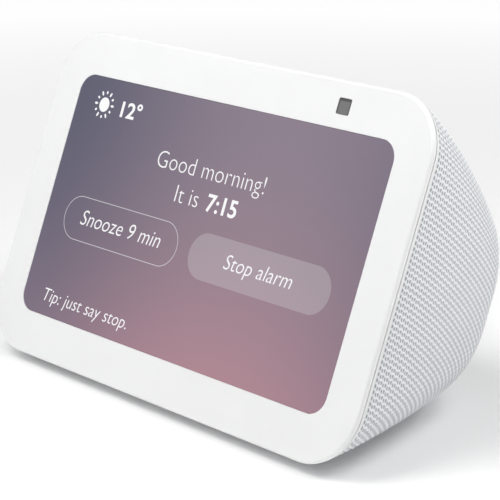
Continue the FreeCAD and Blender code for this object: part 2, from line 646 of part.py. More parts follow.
for i in range(9):
    a = math.radians(180 - 180 * i / 8)
    outer_arc.append((roll_mid + (roll_half) * math.cos(a), -0.7 + 1.5 * math.sin(a)))
    inner_arc.append((roll_mid + (roll_half - 0.35) * math.cos(a), -0.7 + 1.15 * math.sin(a)))
surround = revolve([(CONE_R, -1.0), (CONE_R, -0.7)] + outer_arc[1:-1]
                   + [(ROLL_R - 0.9, -0.7), (ROLL_R - 0.9, -1.0)]
                   + [(ROLL_R - 1.25, -0.9)] + inner_arc[1:-1][::-1] + [(CONE_R + 0.35, -0.9)])
spider_z = -9.4
waves = []
under = []
for i in range(13):
    r = COIL_R + (14.0 - COIL_R) * i / 12.0
    z = spider_z + (0.45 if i % 2 else -0.0)
    waves.append((r, z + 0.35))
    under.append((r, z))
spider = revolve(waves + under[::-1])

collar_r = SPK_R + CHAMBER_T + 0.3
neck_r = SPK_R - 1.8
foot_r = MAGNET_R + 0.8
chamber = revolve([
    (0, -CHAMBER_H), (foot_r + 1.6, -CHAMBER_H), (foot_r + 1.6, -14.0), (collar_r, -4.0),
    (collar_r, 30), (SPK_R + 0.3, 30), (SPK_R + 0.3, -1.4), (neck_r, -1.4), (neck_r, -4.6),
    (foot_r, -13.2), (foot_r, 1.8 - CHAMBER_H), (0, 1.8 - CHAMBER_H)])
chamber = speaker(chamber).common(shell_inner)
speaker_gasket = speaker(ring(SPK_R, ROLL_R + 0.2, 0.0, 0.8))

grille = None
for i in range(7):
    y = -15 + 5 * i
    length = 2 * math.sqrt(17.5 ** 2 - y ** 2)
    tool = Part.makeBox(length, 2.4, 40, V(-length / 2, y - 1.2, -2))
    grille = tool if grille is None else grille.fuse(tool)
shell = shell.cut(speaker(grille))

speaker_lead = lead([(-34.0, board_back + 3.0, 46.5), (-34.0, board_back + 8.0, 46.5),
                     (-27.0, 30.0, 46.5), (-22.0, 38.0, 60.0)], 0.7)
speaker_lead = speaker_lead.cut(speaker(Part.makeCylinder(collar_r, 80, V(0, 0, -CHAMBER_H))))
power_lead = lead([(36.0, board_back + 3.0, 46.5), (36.0, 32.0, 46.5), (12.0, 44.0, 44.0),
                   (12.0, port_board_d, 44.0)], 0.9)

# ---------------------------------------------------------------- base, in standing axes
lowest = min(p.z for p in tilted(skin).tessellate(0.02)[0])
floor = lowest - FOOT_DROP
plate_low = floor + FOOT_T / 2


def flat(width, depth, radius, low, high, cy=BASE_Y):
    wire = rounded(width / 2, cy - depth / 2, cy + depth / 2, radius, 0)
    face = Part.Face(wire)
    face.rotate(V(0, 0, 0), V(1, 0, 0), 90)
    face = face.mirror(V(0, 0, 0), V(0, 1, 0))
    moved = face.copy()
    moved.translate(V(0, 0, low - face.BoundBox.ZMin))
    moved.translate(V(0, cy - moved.BoundBox.Center.y, 0))
    return moved.extrude(V(0, 0, high - low))


outer_s = tilted(shell_outer)
fabric_s = tilted(fabric)
shell_s = tilted(shell)
base_plate = flat(BASE_W, BASE_D, BASE_R, plate_low, 12.0).cut(outer_s)
base_cut = flat(BASE_W + 2 * CLEAR_FIXED, BASE_D + 2 * CLEAR_FIXED, BASE_R + CLEAR_FIXED,
                -20, 12.0)
fabric_s = fabric_s.cut(base_cut)
pad_w = BASE_W - 2 * FOOT_MARGIN
pad_d = BASE_D - 2 * FOOT_MARGIN
foot = flat(pad_w - 2 * CLEAR_FIXED, pad_d - 2 * CLEAR_FIXED, BASE_R - FOOT_MARGIN,
            floor, floor + FOOT_T)
base_plate = base_plate.cut(flat(pad_w, pad_d, BASE_R - FOOT_MARGIN + CLEAR_FIXED,
                                 plate_low - 1, floor + FOOT_T))
base_screws = []
boss_top = 10.0
inner_s = tilted(shell_inner)
for x in (-SCREW_X, SCREW_X):
    seat = floor + FOOT_T
    foot = foot.cut(Part.makeCylinder(3.0, 10, V(x, BASE_Y, floor - 2)))
    base_plate = base_plate.cut(Part.makeCylinder(1.35, 30, V(x, BASE_Y, -10)))
    boss = Part.makeCylinder(3.2, boss_top + 4, V(x, BASE_Y, -4)).common(inner_s)
    shell_s = shell_s.fuse(boss)
    shell_s = shell_s.cut(Part.makeCylinder(1.25, 20, V(x, BASE_Y, -10)))
    head = Part.makeCylinder(2.4, 1.2, V(x, BASE_Y, seat - 1.2))
    shank = Part.makeCylinder(1.25, 9.0, V(x, BASE_Y, seat))
    one = head.fuse(shank).removeSplitter()
    one = one.cut(Part.makeBox(3.0, 0.6, 1, V(x - 1.5, BASE_Y - 0.3, seat - 1.8)))
    one = one.cut(Part.makeBox(0.6, 3.0, 1, V(x - 0.3, BASE_Y - 1.5, seat - 1.8)))
    base_screws.append(one)
foot_edges = [e for e in foot.Edges
              if all(abs(v.Point.z - floor) < 1e-6 for v in e.Vertexes)
              and e.BoundBox.XLength + e.BoundBox.YLength > 6.5]
foot = foot.makeFillet(0.4, foot_edges)

# ---------------------------------------------------------------- place and export
parts['front_frame'] = front
parts['cover_glass'] = cover_glass
parts['display_gasket'] = gasket
parts['lcd_panel'] = lcd_panel
parts['backlight'] = backlight
parts['display_carrier'] = carrier.removeSplitter()
parts['display_flex'] = display_flex
parts['camera_window'] = camera_window
parts['camera_body'] = camera_body
parts['camera_lens'] = camera_lens
parts['shutter_track'] = track
parts['shutter_blade'] = shutter_blade
parts['shutter_knob'] = knob
parts['mid_frame'] = mid_frame
parts['control_deck'] = control_deck
parts['mute_button'] = mute_button
parts['volume_down_button'] = volume_down
parts['volume_up_button'] = volume_up
parts['button_board'] = button_board
parts['tact_switches'] = Part.makeCompound(switches)
parts['microphones'] = Part.makeCompound(mics)
parts['mic_boots'] = Part.makeCompound(boots)
parts['button_board_screws'] = Part.makeCompound(board_pins)
parts['main_board'] = main_board
parts['processor'] = processor
parts['memory_chips'] = Part.makeCompound(memory)
parts['power_coils'] = Part.makeCompound(coils)
parts['lead_sockets'] = Part.makeCompound(sockets)
parts['board_shield'] = shield
parts['heat_spreader'] = spreader
parts['carrier_screws'] = Part.makeCompound(carrier_screws)
parts['board_screws'] = Part.makeCompound(board_screws)
parts['antenna_left'] = antenna_left
parts['antenna_right'] = antenna_right
parts['speaker_basket'] = speaker(basket)
parts['speaker_top_plate'] = speaker(top_plate)
parts['speaker_magnet'] = speaker(magnet)
parts['speaker_pole'] = speaker(pole)
parts['voice_coil'] = speaker(coil)
parts['speaker_cone'] = speaker(cone)
parts['dust_cap'] = speaker(dust_cap)
parts['speaker_surround'] = speaker(surround)
parts['speaker_spider'] = speaker(spider)
parts['speaker_chamber'] = chamber
parts['speaker_gasket'] = speaker_gasket
parts['speaker_lead'] = speaker_lead
parts['port_panel'] = port_panel
parts['dc_jack'] = dc_jack
parts['dc_pin'] = dc_pin
parts['service_port'] = usb_shell.fuse(usb_mount).fuse(usb_tongue).removeSplitter()
parts['port_board'] = port_board
parts['power_lead'] = power_lead

standing['rear_shell'] = shell_s
standing['fabric_cover'] = fabric_s
standing['base_plate'] = base_plate
standing['rubber_foot'] = foot
standing['base_screws'] = Part.makeCompound(base_screws)

finished = {name: tilted(shape) for name, shape in parts.items()}
finished.update(standing)

points = []
for name in ('front_frame', 'mid_frame', 'fabric_cover', 'control_deck', 'shutter_knob', 'rubber_foot'):
    points += finished[name].tessellate(0.02)[0]
lows = [min(p[i] for p in points) for i in range(3)]
highs = [max(p[i] for p in points) for i in range(3)]
shift = V(-(lows[0] + highs[0]) / 2, -(lows[1] + highs[1]) / 2, -lows[2])

os.makedirs("parts", exist_ok=True)
for name, shape in finished.items():
    moved = shape.copy()
    moved.translate(shift)
    bad = '' if moved.isValid() else ' NOT VALID'
    count = len(moved.Solids)
    print('%-22s solids %d volume %9.2f%s' % (name, count, moved.Volume, bad))
    moved.exportStep(os.path.join("parts", name + ".step"))
print('size', [round(b - a, 3) for a, b in zip(lows, highs)], 'shift', shift)
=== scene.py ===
import math

import bmesh
import bpy
import numpy as np
from mathutils import Matrix, Vector


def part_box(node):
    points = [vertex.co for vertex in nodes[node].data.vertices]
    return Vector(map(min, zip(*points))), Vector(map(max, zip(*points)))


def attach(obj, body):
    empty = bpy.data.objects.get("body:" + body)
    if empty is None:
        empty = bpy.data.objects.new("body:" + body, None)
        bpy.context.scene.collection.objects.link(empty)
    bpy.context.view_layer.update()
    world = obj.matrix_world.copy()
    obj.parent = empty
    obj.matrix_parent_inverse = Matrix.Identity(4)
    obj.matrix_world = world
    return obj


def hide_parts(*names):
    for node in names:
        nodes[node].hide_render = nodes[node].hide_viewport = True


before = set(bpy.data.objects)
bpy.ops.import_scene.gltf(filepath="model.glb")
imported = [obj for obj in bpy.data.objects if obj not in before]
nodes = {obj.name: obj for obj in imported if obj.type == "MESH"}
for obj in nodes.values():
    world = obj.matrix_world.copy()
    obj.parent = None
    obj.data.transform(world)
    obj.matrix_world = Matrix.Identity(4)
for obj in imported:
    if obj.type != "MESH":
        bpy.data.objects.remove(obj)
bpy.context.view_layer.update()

# ---------------------------------------------------------------------------
# Where the face stands.  The screen leans back by one angle, and everything on
# the front is laid out flat in face axes: X to the right, Y into the body and
# Z up the face, in millimetres, from the middle of the frame's lower edge.
MM = 0.001
LEAN = math.radians(21.5)
GLASS_LOW, GLASS_BACK, GLASS_SINK = 12.5, 1.2, 0.1
glass_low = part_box("cover_glass")[0]
face_y = glass_low.y - (GLASS_SINK * math.cos(LEAN) + GLASS_LOW * math.sin(LEAN)) * MM
face_z = glass_low.z - (GLASS_LOW * math.cos(LEAN) - GLASS_BACK * math.sin(LEAN)) * MM
face = (Matrix.Translation((0, face_y, face_z))
        @ Matrix.Rotation(-LEAN, 4, "X") @ Matrix.Scale(MM, 4))

# ---------------------------------------------------------------------------
# Camera: a long lens on the right of the object, looking slightly down on it.
AZIMUTH, ELEVATION, ROLL = math.radians(46.89), math.radians(15.98), math.radians(0.23)
DISTANCE, RIGHTWARD, UPWARD = 523.1, -28.006, -40.763
FOCAL_IN_WIDTHS = 3.9164

back = Vector((math.sin(AZIMUTH) * math.cos(ELEVATION),
               -math.cos(AZIMUTH) * math.cos(ELEVATION), math.sin(ELEVATION)))
right = (-back).cross(Vector((0, 0, 1))).normalized()
up = right.cross(-back)
right, up = (right * math.cos(ROLL) + up * math.sin(ROLL),
             up * math.cos(ROLL) - right * math.sin(ROLL))
eye = (back * DISTANCE - right * RIGHTWARD - up * UPWARD) * MM + Vector((0, face_y, face_z))
lens = bpy.data.cameras.new("camera")
lens.sensor_width = 36.0
lens.lens = 36.0 * FOCAL_IN_WIDTHS
lens.clip_start = 0.05
camera = bpy.data.objects.new("camera", lens)
camera.matrix_world = Matrix.Translation(eye) @ Matrix((right, up, back)).transposed().to_4x4()
bpy.context.scene.collection.objects.link(camera)
bpy.context.scene.camera = camera

# ---------------------------------------------------------------------------
# The room: a pale floor and soft white studio light from above and both sides.
bpy.context.scene.view_settings.view_transform = "Standard"
world = bpy.data.worlds.new("studio")
bpy.context.scene.world = world
world.use_nodes = True
world.node_tree.nodes["Background"].inputs["Color"].default_value = (1, 1, 1, 1)
world.node_tree.nodes["Background"].inputs["Strength"].default_value = 0.28


def soft_box(name, place, width, watts, target=(0, 0, 0.045)):
    light = bpy.data.lights.new(name, "AREA")
    light.shape = "SQUARE"
    light.size = width
    light.energy = watts
    lamp = bpy.data.objects.new(name, light)
    aim = Vector(target) - Vector(place)
    lamp.matrix_world = (Matrix.Translation(place)
                         @ aim.to_track_quat("-Z", "Y").to_matrix().to_4x4())
    bpy.context.scene.collection.objects.link(lamp)
    return lamp


soft_box("top_light", (-0.05, -0.16, 0.42), 0.25, 0.72)
soft_box("side_light", (0.21, 0.08, 0.28), 0.14, 0.44)
key = bpy.data.lights.new("key_light", "SUN")
key.energy = 1.0
key.angle = math.radians(40)
key_lamp = bpy.data.objects.new("key_light", key)
key_lamp.matrix_world = Vector((0.35, 0.55, -0.76)).to_track_quat("-Z", "Y").to_matrix().to_4x4()
bpy.context.scene.collection.objects.link(key_lamp)

mesh = bmesh.new()
bmesh.ops.create_grid(mesh, x_segments=1, y_segments=1, size=3.0)
floor_mesh = bpy.data.meshes.new("floor")
mesh.to_mesh(floor_mesh)
mesh.free()
floor = bpy.data.objects.new("floor", floor_mesh)
bpy.context.scene.collection.objects.link(floor)
paper = bpy.data.materials.new("pale_paper_painted_glow")
paper.use_nodes = True
paper_face = paper.node_tree.nodes["Principled BSDF"]
paper_face.inputs["Base Color"].default_value = (0.95, 0.95, 0.95, 1)
paper_face.inputs["Emission Color"].default_value = (1, 1, 1, 1)
# Painted light: the floor itself glows, faintly near the object and more strongly further out.
sweep = paper.node_tree
spot = sweep.nodes.new("ShaderNodeTexCoord")
reach = sweep.nodes.new("ShaderNodeVectorMath")
reach.operation = "LENGTH"
glow = sweep.nodes.new("ShaderNodeMapRange")
GLOW_STARTS, GLOW_ENDS = 0.12, 0.65
GLOW_NEAR, GLOW_FAR = 0.06, 0.46
for socket, number in zip(glow.inputs[1:5], (GLOW_STARTS, GLOW_ENDS, GLOW_NEAR, GLOW_FAR)):
    socket.default_value = number
sweep.links.new(spot.outputs["Object"], reach.inputs[0])
sweep.links.new(reach.outputs["Value"], glow.inputs[0])
sweep.links.new(glow.outputs[0], paper_face.inputs["Emission Strength"])
paper_face.inputs["Roughness"].default_value = 0.9
floor_mesh.materials.append(paper)


# ---------------------------------------------------------------------------
# Front frame: one injection moulding in white polycarbonate, polished face with
# a very fine satin texture.  It is the piece that everything else is hung from.
def new_material(name, colour, roughness, metallic=0.0, coat=0.0, sheen=0.0):
    """A material with its plain numbers set on the shader, ready for patterns."""
    material = bpy.data.materials.new(name)
    material.use_nodes = True
    shader = material.node_tree.nodes["Principled BSDF"]
    shader.inputs["Base Color"].default_value = (*colour, 1)
    shader.inputs["Roughness"].default_value = roughness
    shader.inputs["Metallic"].default_value = metallic
    shader.inputs["Coat Weight"].default_value = coat
    shader.inputs["Sheen Weight"].default_value = sheen
    return material, shader


class Pattern:
    """Short hand for the nodes of one material."""

    def __init__(self, material):
        self.tree = material.node_tree
        self.place = self.add("ShaderNodeTexCoord").outputs["Object"]

    def add(self, kind, **values):
        node = self.tree.nodes.new(kind)
        for key, value in values.items():
            setattr(node, key, value)
        return node

    def join(self, output, socket):
        self.tree.links.new(output, socket)

    def math(self, operation, *values):
        node = self.add("ShaderNodeMath", operation=operation)
        for socket, value in zip(node.inputs, values):
            if isinstance(value, (int, float)):
                socket.default_value = value
            else:
                self.join(value, socket)
        return node.outputs[0]

    def noise(self, scale, detail=2.0, place=None):
        node = self.add("ShaderNodeTexNoise")
        node.inputs["Scale"].default_value = scale
        node.inputs["Detail"].default_value = detail
        self.join(place or self.place, node.inputs["Vector"])
        return node.outputs["Fac"]

    def spread(self, value, low, high, out_low=0.0, out_high=1.0):
        node = self.add("ShaderNodeMapRange")
        for socket, number in zip(node.inputs[1:5], (low, high, out_low, out_high)):
            socket.default_value = number
        self.join(value, node.inputs[0])
        return node.outputs[0]

    def blend(self, factor, first, second):
        node = self.add("ShaderNodeMix", data_type="RGBA")
        for socket, value in zip((node.inputs[0], node.inputs[6], node.inputs[7]),
                                 (factor, first, second)):
            if isinstance(value, tuple):
                socket.default_value = (*value, 1)
            elif isinstance(value, (int, float)):
                socket.default_value = value
            else:
                self.join(value, socket)
        return node.outputs[2]

    def bump(self, shader, height, depth, strength=1.0):
        node = self.add("ShaderNodeBump")
        node.inputs["Strength"].default_value = strength
        node.inputs["Distance"].default_value = depth
        self.join(height, node.inputs["Height"])
        self.join(node.outputs["Normal"], shader.inputs["Normal"])


def moulded(name, colour, roughness=0.45, grain=2200.0, relief=0.00002, coat=0.0):
    """Moulded plastic: spark-eroded grain, faint tone changes and handling marks."""
    material, shader = new_material(name, colour, roughness, coat=coat)
    pattern = Pattern(material)
    fine = pattern.noise(grain, 3.0)
    broad = pattern.noise(28.0, 3.0)
    dark = tuple(c * 0.965 for c in colour)
    pattern.join(pattern.blend(pattern.spread(broad, 0.35, 0.7), colour, dark),
                 shader.inputs["Base Color"])
    rubbed = pattern.spread(pattern.noise(90.0, 4.0), 0.3, 0.75,
                            max(0.02, roughness - 0.06), roughness + 0.08)
    pattern.join(rubbed, shader.inputs["Roughness"])
    pattern.bump(shader, fine, relief, 0.5)
    return material


def finish(node_name, material):
    data = nodes[node_name].data
    data.materials.clear()
    data.materials.append(material)


white_front = moulded("white_front", (0.905, 0.910, 0.908), 0.36, 2600.0, 0.000012, 0.15)
finish("front_frame", white_front)

# ---------------------------------------------------------------------------
# Rim: the white inner frame that shows as a narrow band behind the front frame.
white_rim = moulded("white_rim", (0.88, 0.885, 0.88), 0.45, 2200.0, 0.00002)
finish("mid_frame", white_rim)

# ---------------------------------------------------------------------------
# Screen: bonded touch glass with the lit picture under it.  The picture is a soft
# colour wash, slate at the upper left, rose low on the right, and it glows.
SCREEN_MIDDLE = 47.55
SCREEN_WIDTH, SCREEN_HEIGHT = 123.1, 70.3
SLATE, DUSK = (0.11, 0.11, 0.163), (0.205, 0.16, 0.215)
MAUVE, ROSE = (0.27, 0.215, 0.27), (0.435, 0.247, 0.292)
CREST, RIGHTWARD_POWER, DOWNWARD_POWER = 0.72, 1.5, 1.9


def wash(name, lift):
    """Glass over the lit colour wash; lift mixes in white, as on a pressed button."""
    material, shader = new_material(name, (0.010, 0.010, 0.012), 0.12)
    shader.inputs["Specular IOR Level"].default_value = 0.35
    shader.inputs["Emission Strength"].default_value = 0.94
    pattern = Pattern(material)
    split = pattern.add("ShaderNodeSeparateXYZ")
    pattern.join(pattern.place, split.inputs[0])
    across = pattern.spread(split.outputs[0], -SCREEN_WIDTH / 2 * MM, SCREEN_WIDTH / 2 * MM)
    along = pattern.add("ShaderNodeVectorMath", operation="DOT_PRODUCT")
    pattern.join(pattern.place, along.inputs[0])
    along.inputs[1].default_value = (0, math.sin(LEAN), math.cos(LEAN))
    middle = face @ Vector((0, 0, SCREEN_MIDDLE))
    centre = middle.y * math.sin(LEAN) + middle.z * math.cos(LEAN)
    height = pattern.spread(along.outputs["Value"], centre - SCREEN_HEIGHT / 2 * MM,
                            centre + SCREEN_HEIGHT / 2 * MM, 1.0, 0.0)
    turned = pattern.math("SINE", pattern.math("MULTIPLY", across, CREST * math.pi))
    rightward = pattern.math("POWER", turned, RIGHTWARD_POWER)
    downward = pattern.math("POWER", height, DOWNWARD_POWER)
    tone = pattern.blend(rightward, pattern.blend(downward, SLATE, DUSK),
                         pattern.blend(downward, MAUVE, ROSE))
    pattern.join(pattern.blend(lift, tone, (0.86, 0.86, 0.88)),
                 shader.inputs["Emission Color"])
    return material


finish("cover_glass", wash("lit_glass", 0.0))

# ---------------------------------------------------------------------------
# What the screen shows: a weather mark, the time, a greeting and two buttons.
# Each mark is a thin film of light lying on the glass, with plain generic words.
bright, bright_shader = new_material("lit_white", (0.02, 0.02, 0.02), 0.2)
bright_shader.inputs["Emission Strength"].default_value = 1.0
dots = Pattern(bright)
dots.join(dots.blend(dots.noise(9000.0), (0.90, 0.90, 0.91), (0.96, 0.96, 0.97)),
          bright_shader.inputs["Emission Color"])
pressed = wash("lit_button", 0.17)
soft_line = wash("lit_line", 0.62)
PICTURE_SINK = 0.08
on_glass = face @ Matrix.Translation((0, PICTURE_SINK, SCREEN_MIDDLE)) @ Matrix.Rotation(
    math.radians(90), 4, "X")


def place_on_glass(piece_mesh, name, x, y, material, rise=0.0, slant=0.0):
    """Shears, moves and tilts a flat mesh onto the glass; x, y from its middle."""
    piece_mesh.transform(Matrix(((1, slant, 0, 0), (0, 1, 0, 0), (0, 0, 1, 0), (0, 0, 0, 1))))
    piece_mesh.transform(on_glass @ Matrix.Translation((x, y, rise)))
    piece_mesh.materials.clear()
    piece_mesh.materials.append(material)
    piece = bpy.data.objects.new(name, piece_mesh)
    bpy.context.scene.collection.objects.link(piece)
    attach(piece, "housing")
    return piece


def lettering(name, words, size, x, y, weight=0.0, slant=0.0, align="CENTER", stretch=1.0):
    """Words as a thin mesh; size is about 1.4 times the height of a capital."""
    text = bpy.data.curves.new(name, "FONT")
    text.body = words
    text.size = size
    text.align_x = align
    text.offset = weight
    text.resolution_u = 4
    holder = bpy.data.objects.new(name + "_outline", text)
    bpy.context.scene.collection.objects.link(holder)
    bpy.context.view_layer.update()
    outline = bpy.data.meshes.new_from_object(holder)
    bpy.data.objects.remove(holder)
    outline.transform(Matrix.Diagonal((stretch, 1, 1, 1)))
    return place_on_glass(outline, name, x, y, bright, LIGHT_RISE, slant)


def pill_shape(length, width, line=None):
    """A flat pill, or its outline when a line width is given."""
    shape = bmesh.new()
    bmesh.ops.create_circle(shape, cap_ends=True, radius=width / 2, segments=64)
    half = (length - width) / 2
    for corner in shape.verts:
        corner.co.x += half if corner.co.x > 0 else -half
    if line:
        bmesh.ops.inset_individual(shape, faces=shape.faces[:], thickness=line,
                                   use_even_offset=True)
        inner = max(shape.faces, key=lambda f: f.calc_area())
        bmesh.ops.delete(shape, geom=[inner], context="FACES")
    flat = bpy.data.meshes.new("pill")
    shape.to_mesh(flat)
    shape.free()
    return flat


# Places are millimetres from the middle of the screen, to the right and up.
BUTTON_WIDTH, BUTTONS_UP = 12.654, -5.624
SNOOZE_LENGTH, SNOOZE_RIGHT = 48.741, -28.823
STOP_LENGTH, STOP_RIGHT = 52.842, 26.890
OUTLINE_WIDTH, BUTTON_RISE, LIGHT_RISE = 0.20, 0.02, 0.03
place_on_glass(pill_shape(SNOOZE_LENGTH, BUTTON_WIDTH, OUTLINE_WIDTH), "snooze_outline",
               SNOOZE_RIGHT, BUTTONS_UP, soft_line, BUTTON_RISE)
place_on_glass(pill_shape(STOP_LENGTH, BUTTON_WIDTH), "stop_button",
               STOP_RIGHT, BUTTONS_UP, pressed, BUTTON_RISE)
BOLD, BOOK, FINE = 0.13, -0.05, -0.11
SLANT = 0.22
WORDS_UP, TIME_UP = -7.2, 6.2
lettering("snooze_word", "Snooze 9 min", 6.3, SNOOZE_RIGHT, WORDS_UP, BOOK, SLANT)
lettering("stop_word", "Stop alarm", 5.9, STOP_RIGHT, WORDS_UP, BOOK, SLANT)
lettering("greeting", "Good morning!", 7.0, 0.1, 14.2, FINE)
lettering("time_intro", "It is", 7.0, -6.210, TIME_UP, FINE)
lettering("time_figures", "7:15", 6.6, 7.850, TIME_UP, BOLD, 0.0, "CENTER", 1.08)
lettering("degrees", "12°", 6.2, -43.117, 25.1, BOLD, 0.0, "LEFT", 1.2)
lettering("tip_line", "Tip: just say stop.", 5.4, -53.311, -31.0, BOOK, SLANT, "LEFT")

SUN_RADIUS, SUN_RIGHT, SUN_UP = 2.109, -49.444, 27.300
RAYS, RAY_RADIUS, RAY_REACH = 12, 0.3515, 3.515
LONG_RAY, SHORT_RAY = 2.0, 1.3
sun = bmesh.new()
bmesh.ops.create_circle(sun, cap_ends=True, radius=SUN_RADIUS, segments=40)
for i in range(RAYS):
    made = bmesh.ops.create_circle(sun, cap_ends=True, radius=RAY_RADIUS, segments=16)
    for corner in made["verts"]:
        corner.co.y *= LONG_RAY if i % 2 else SHORT_RAY
        corner.co.y += RAY_REACH
    bmesh.ops.rotate(sun, verts=made["verts"], cent=(0, 0, 0),
                     matrix=Matrix.Rotation(math.tau * i / RAYS, 3, "Z"))
sun_mesh = bpy.data.meshes.new("sun_mark")
sun.to_mesh(sun_mesh)
sun.free()
place_on_glass(sun_mesh, "sun_mark", SUN_RIGHT, SUN_UP, bright, LIGHT_RISE)

# ---------------------------------------------------------------------------
# Camera window: smoked acrylic let into the frame over the camera and shutter.
smoked, smoked_shader = new_material("smoked_window", (0.19, 0.19, 0.19), 0.18, coat=0.4)
pattern = Pattern(smoked)
window_low, window_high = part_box("camera_window")
split = pattern.add("ShaderNodeSeparateXYZ")
pattern.join(pattern.place, split.inputs[0])
WINDOW_BORDER, FLANGE = 0.35, 1.1
window_middle = (window_low + window_high) / 2
window_half = (window_high - window_low) / 2
edges = []
for axis in (0, 2):
    off = pattern.math("ABSOLUTE", pattern.math("SUBTRACT", split.outputs[axis],
                                                window_middle[axis]))
    side = window_half[axis] - FLANGE * MM
    edges.append(pattern.spread(off, side - WINDOW_BORDER * MM,
                                side - WINDOW_BORDER / 2 * MM))
border = pattern.math("MAXIMUM", *edges)
pattern.join(pattern.blend(border, (0.18, 0.18, 0.18), (0.09, 0.09, 0.09)),
             smoked_shader.inputs["Base Color"])
pattern.bump(smoked_shader, pattern.noise(2600.0), 0.000004, 0.5)
finish("camera_window", smoked)
black_moulding = moulded("black_moulding", (0.02, 0.02, 0.02), 0.5)
for name in ("camera_body", "shutter_track", "tact_switches", "speaker_chamber", "dc_jack"):
    finish(name, black_moulding)
lens_glass, lens_shader = new_material("lens_glass", (0.03, 0.03, 0.06), 0.03, coat=1.0)
coating = Pattern(lens_glass)
coating.join(coating.blend(coating.noise(350.0), (0.03, 0.03, 0.06), (0.045, 0.03, 0.08)),
             lens_shader.inputs["Base Color"])
coating.join(coating.spread(coating.noise(700.0), 0.3, 0.7, 0.02, 0.06),
             lens_shader.inputs["Roughness"])
finish("camera_lens", lens_glass)

# ---------------------------------------------------------------------------
# Top controls: a white strip with three pill buttons and the shutter slider.
white_controls = moulded("white_controls", (0.86, 0.865, 0.86), 0.5, 1800.0, 0.00003)
for name in ("control_deck", "mute_button", "volume_down_button", "volume_up_button",
             "shutter_knob", "shutter_blade"):
    finish(name, white_controls)

# ---------------------------------------------------------------------------
# Knitted cover: grey-white warp knit stretched over the rear shell and tucked in
# behind the rim.  Raised ribs run back over the top, and on the sides they follow
# the slope of the back; small cross stitches leave open eyes between the ribs.
BODY = dict(width=146.0, height=95.2, depth=66.1, corner=15.7, growth=0.12, edge=0.8,
            top_slope=0.20, top_drop=10.4, top_power=1.6, side_slope=0.046,
            side_drop=13.1, side_power=1.7, bottom_slope=0.369, nose=17.3)
LIP_BACK = 2.5
RIB = 1.45
STITCH = 1.05
RIB_HEIGHT = 0.20
RIBS = 152


def outline_at(depth):
    b = BODY
    past_edge = max(depth - b["edge"], 0.0)
    share = past_edge / (b["depth"] - b["edge"])
    beyond = max(depth - (b["depth"] - b["nose"]), 0.0)
    rounding = b["nose"] - math.sqrt(max(b["nose"] ** 2 - beyond ** 2, 0.0))
    high = (b["height"] - b["top_slope"] * past_edge
            - b["top_drop"] * share ** b["top_power"] - rounding)
    low = b["bottom_slope"] * depth + rounding
    half = (b["width"] / 2 - b["side_slope"] * past_edge
            - b["side_drop"] * share ** b["side_power"] - rounding)
    radius = min(b["corner"] + b["growth"] * past_edge, (high - low) / 2 - 0.3)
    return half, low, high, radius


TOP_RIB_HEIGHT, TOP_RIB_FALL, TOP_RIB_BEND = 93.0, 0.20, 0.0012
ACROSS_RIBS, BACK_LINE = 0.976, 106.0
RIBS_START, TURN = 67.6, 8.2


def rib_count_at(depth, height):
    """How far round the cover a point of the side lies, counted across the ribs."""
    top_rib = TOP_RIB_HEIGHT - TOP_RIB_FALL * depth - TOP_RIB_BEND * depth ** 2
    below = (top_rib - height) * ACROSS_RIBS
    behind = BACK_LINE - (depth * math.cos(LEAN) + height * math.sin(LEAN))
    return RIBS_START - TURN * np.logaddexp(-below / TURN, -behind / TURN)


STEPS_PER_RIB = 4
column = np.arange(0, RIBS * STEPS_PER_RIB + 1) * (RIB / STEPS_PER_RIB)
start = BODY["depth"] - BODY["nose"]
depths = list(np.linspace(LIP_BACK + 0.05, start, 43))
depths += [start + BODY["nose"] * math.sin(math.radians(a)) for a in np.linspace(4, 86, 22)]
closing = (0.8, 0.6, 0.4, 0.2, 0.0)
CLOSING_STEP = 0.8
GATHER, GATHER_FROM, GATHER_RUN = 0.30, 8.0, 50.0

rows_xyz, at_seam = [], []
for depth in depths:
    half, low, high, radius = outline_at(depth)
    flat = half - radius
    quarter = math.pi / 2 * radius
    side = high - low - 2 * radius
    gather = 1.0 + GATHER * min(1.0, max(0.0, (depth - GATHER_FROM) / GATHER_RUN)) ** 1.5
    arc = np.cumsum([0, flat, quarter, side, quarter, flat])
    wrapped = np.linspace(high - radius, low + radius - quarter, 40)
    count = np.concatenate([[0, flat * gather], rib_count_at(depth, wrapped)])
    spot = np.concatenate([[0, flat], arc[2] + (high - radius - wrapped)])
    count = np.append(count, count[-1] + flat)
    spot = np.append(spot, arc[5])
    at = np.interp(column, np.maximum.accumulate(count), spot)
    turn1 = np.clip((at - arc[1]) / radius, 0, math.pi / 2)
    turn2 = np.clip((at - arc[3]) / radius, 0, math.pi / 2)
    x = np.select([at < arc[1], at < arc[2], at < arc[3], at < arc[4]],
                  [at, flat + radius * np.sin(turn1), half, flat + radius * np.cos(turn2)],
                  np.maximum(arc[5] - at, 0))
    z = np.select([at < arc[1], at < arc[2], at < arc[3], at < arc[4]],
                  [high, high - radius + radius * np.cos(turn1), high - radius - (at - arc[2]),
                   low + radius - radius * np.sin(turn2)], low)
    rows_xyz.append(np.stack([x, np.full_like(x, depth), z], 1))
    at_seam.append(at >= arc[5] - 1e-6)
middle_z = (outline_at(depths[-1])[1] + outline_at(depths[-1])[2]) / 2
end_flat = outline_at(depths[-1])[0] - outline_at(depths[-1])[3]
last = rows_xyz[-1]
for share in closing:
    ring = last.copy()
    ring[:, 2] = middle_z + (last[:, 2] - middle_z) * share
    ring[:, 0] = np.minimum(last[:, 0], end_flat + (last[:, 0] - end_flat) * share)
    ring[:, 1] = BODY["depth"] - (BODY["depth"] - depths[-1]) * share ** 2
    if share == 0.0:
        ring[:, 0] = np.rint(ring[:, 0] / CLOSING_STEP) * CLOSING_STEP
    rows_xyz.append(ring)
    at_seam.append(at_seam[-1] | (share == 0.0))
half_xyz, seam = np.stack(rows_xyz), np.stack(at_seam)
steps = np.linalg.norm(np.diff(half_xyz, axis=0), axis=2)
